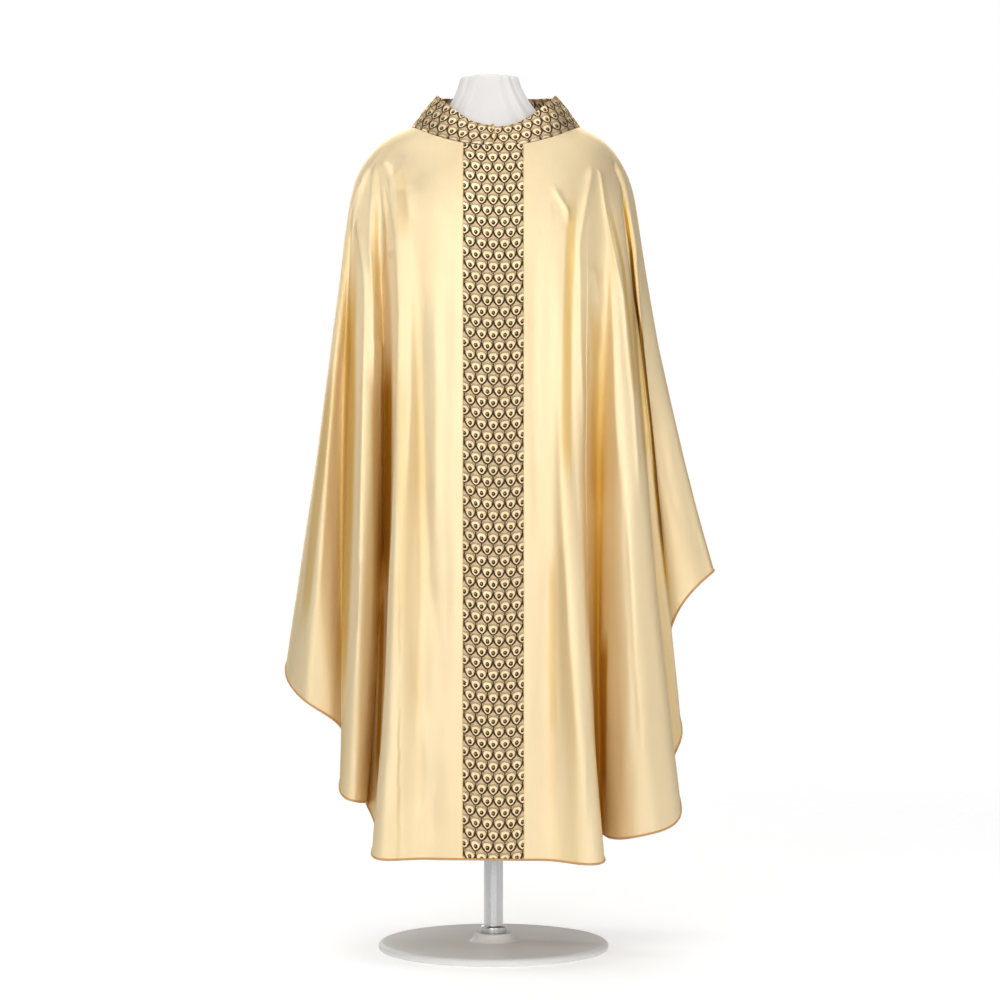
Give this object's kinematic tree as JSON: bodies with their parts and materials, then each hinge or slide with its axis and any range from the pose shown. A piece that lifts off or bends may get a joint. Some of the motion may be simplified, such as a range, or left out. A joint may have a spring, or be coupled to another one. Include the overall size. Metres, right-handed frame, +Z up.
{
  "type": "chasuble on a dress form",
  "caption": "Full-cut gold satin chasuble with a patterned centre band and standing collar, draped on a limbless dress form with a round-based stand.",
  "frame": {"origin": "centre of the stand base's underside, on the floor", "axes": "+Z up along the pole; the garment's front faces -Y; +X is the wearer's left, the viewer's right"},
  "size_m": [0.7113, 0.4034, 1.437],
  "materials": {
    "satin": "glossy satin weave",
    "brocade": "jacquard with metallic gold thread",
    "cord": "rolled satin edging",
    "linen": "matt cotton jersey",
    "steel": "brushed",
    "paint": "satin powder coat"
  },
  "bodies": {
    "root": {"front_panel": "satin", "back_panel": "satin", "orphrey_front": "brocade", "collar": "brocade", "hem_cord_front": "cord", "hem_cord_back": "cord", "form_body": "linen", "stand_pole": "steel", "stand_base": "paint"}
  },
  "joints": []
}
